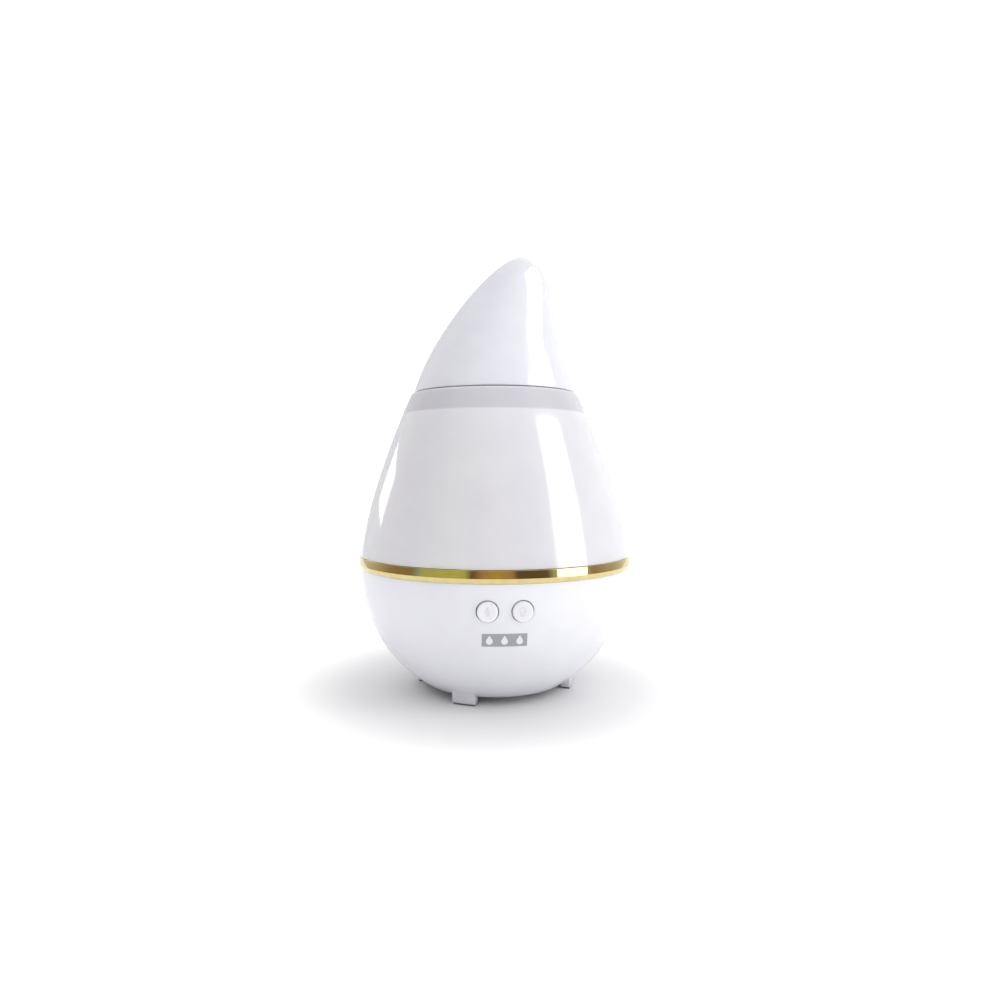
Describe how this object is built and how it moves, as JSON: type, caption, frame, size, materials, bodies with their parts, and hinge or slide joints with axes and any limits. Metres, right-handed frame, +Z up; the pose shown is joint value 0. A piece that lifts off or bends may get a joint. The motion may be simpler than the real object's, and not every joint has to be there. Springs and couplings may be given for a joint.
{
  "type": "cool mist humidifier",
  "caption": "Teardrop cool mist humidifier: white bowl on short feet, gold trim ring, milky lift-off dome and a leaning horn nozzle that turns on the dome's mouth; soft keys in front.",
  "frame": {"origin": "centre of the bowl's footprint on the table, on the axis of the bowl and dome", "axes": "+Z up along the axis of the bowl and dome; the buttons face -Y; the power socket faces +Y; the nozzle leans towards +X"},
  "size_m": [0.1104, 0.1104, 0.175],
  "materials": {
    "white_abs": "polished white ABS",
    "milky_dome": "milky polished polycarbonate",
    "gold_plating": "bright gold plating on ABS",
    "white_pp": "satin white polypropylene",
    "pad_silicone": "pale grey silicone",
    "grey_silicone": "grey silicone",
    "black_abs": "fine-textured black plastic",
    "black_epoxy": "moulded black epoxy",
    "steel": "zinc-plated steel",
    "nickel_disc": "nickel plate",
    "bronze": "sintered bronze",
    "copper_winding": "enamelled copper",
    "green_board": "green solder mask on glass-fibre board",
    "white_board": "white solder mask on aluminium-backed board",
    "can_sleeve": "sleeved aluminium can",
    "ferrite": "dull ferrite",
    "black_aluminium": "black anodised",
    "white_nylon": "natural nylon",
    "led_lens": "phosphor under clear silicone",
    "lead_black": "black PVC insulation",
    "lead_red": "red PVC insulation",
    "lead_white": "white PVC insulation"
  },
  "bodies": {
    "base": {"base_shell": "white_abs", "bottom_cover": "white_abs", "foot_pads": "pad_silicone", "cover_screws": "steel", "trim_ring": "gold_plating", "basin": "white_pp", "air_column": "white_pp", "basin_gasket": "grey_silicone", "duct_cap": "white_pp", "air_duct": "black_abs", "transducer_disc": "nickel_disc", "transducer_gasket": "grey_silicone", "transducer_clamp": "black_abs", "transducer_screws": "steel", "fan_frame": "black_abs", "fan_bearing": "bronze", "fan_stator": "copper_winding", "fan_screws": "steel", "main_board": "green_board", "board_screws": "steel", "power_jack": "black_abs", "jack_pin": "nickel_disc", "capacitors": "can_sleeve", "inductors": "ferrite", "heat_sink": "black_aluminium", "power_transistor": "black_epoxy", "control_chip": "black_epoxy", "pin_headers": "white_nylon", "button_board": "green_board", "button_board_screws": "steel", "tact_switches": "black_abs", "led_board": "white_board", "leds": "led_lens", "fan_lead": "lead_black", "transducer_lead": "lead_red", "button_lead": "lead_white", "led_lead": "lead_white"},
    "dome": {"dome": "milky_dome", "swivel_collar": "white_pp"},
    "nozzle": {"nozzle_shell": "white_abs", "nozzle_skirt": "white_pp", "mist_baffle": "white_pp"},
    "mist_key": {"mist_button": "white_abs", "mist_plunger": "black_abs"},
    "light_key": {"light_button": "white_abs", "light_plunger": "black_abs"},
    "fan_wheel": {"fan_rotor": "black_abs", "fan_shaft": "steel"}
  },
  "joints": [
    {"name": "dome_lift", "type": "slide", "parent": "base", "child": "dome", "axis": [0, 0, 1], "range_m": [0, 0.1]},
    {"name": "nozzle_turn", "type": "hinge", "parent": "dome", "child": "nozzle", "pos_m": [0, 0, 0.1182], "axis": [0, 0, 1], "continuous": true},
    {"name": "mist_press", "type": "slide", "parent": "base", "child": "mist_key", "axis": [0, 1, 0], "range_m": [0, 0.0005], "stiffness_N_per_m": 800},
    {"name": "light_press", "type": "slide", "parent": "base", "child": "light_key", "axis": [0, 1, 0], "range_m": [0, 0.0005], "stiffness_N_per_m": 800},
    {"name": "fan_spin", "type": "hinge", "parent": "base", "child": "fan_wheel", "pos_m": [-0.0198, 0, 0.0152], "axis": [0, 0, 1], "continuous": true}
  ]
}
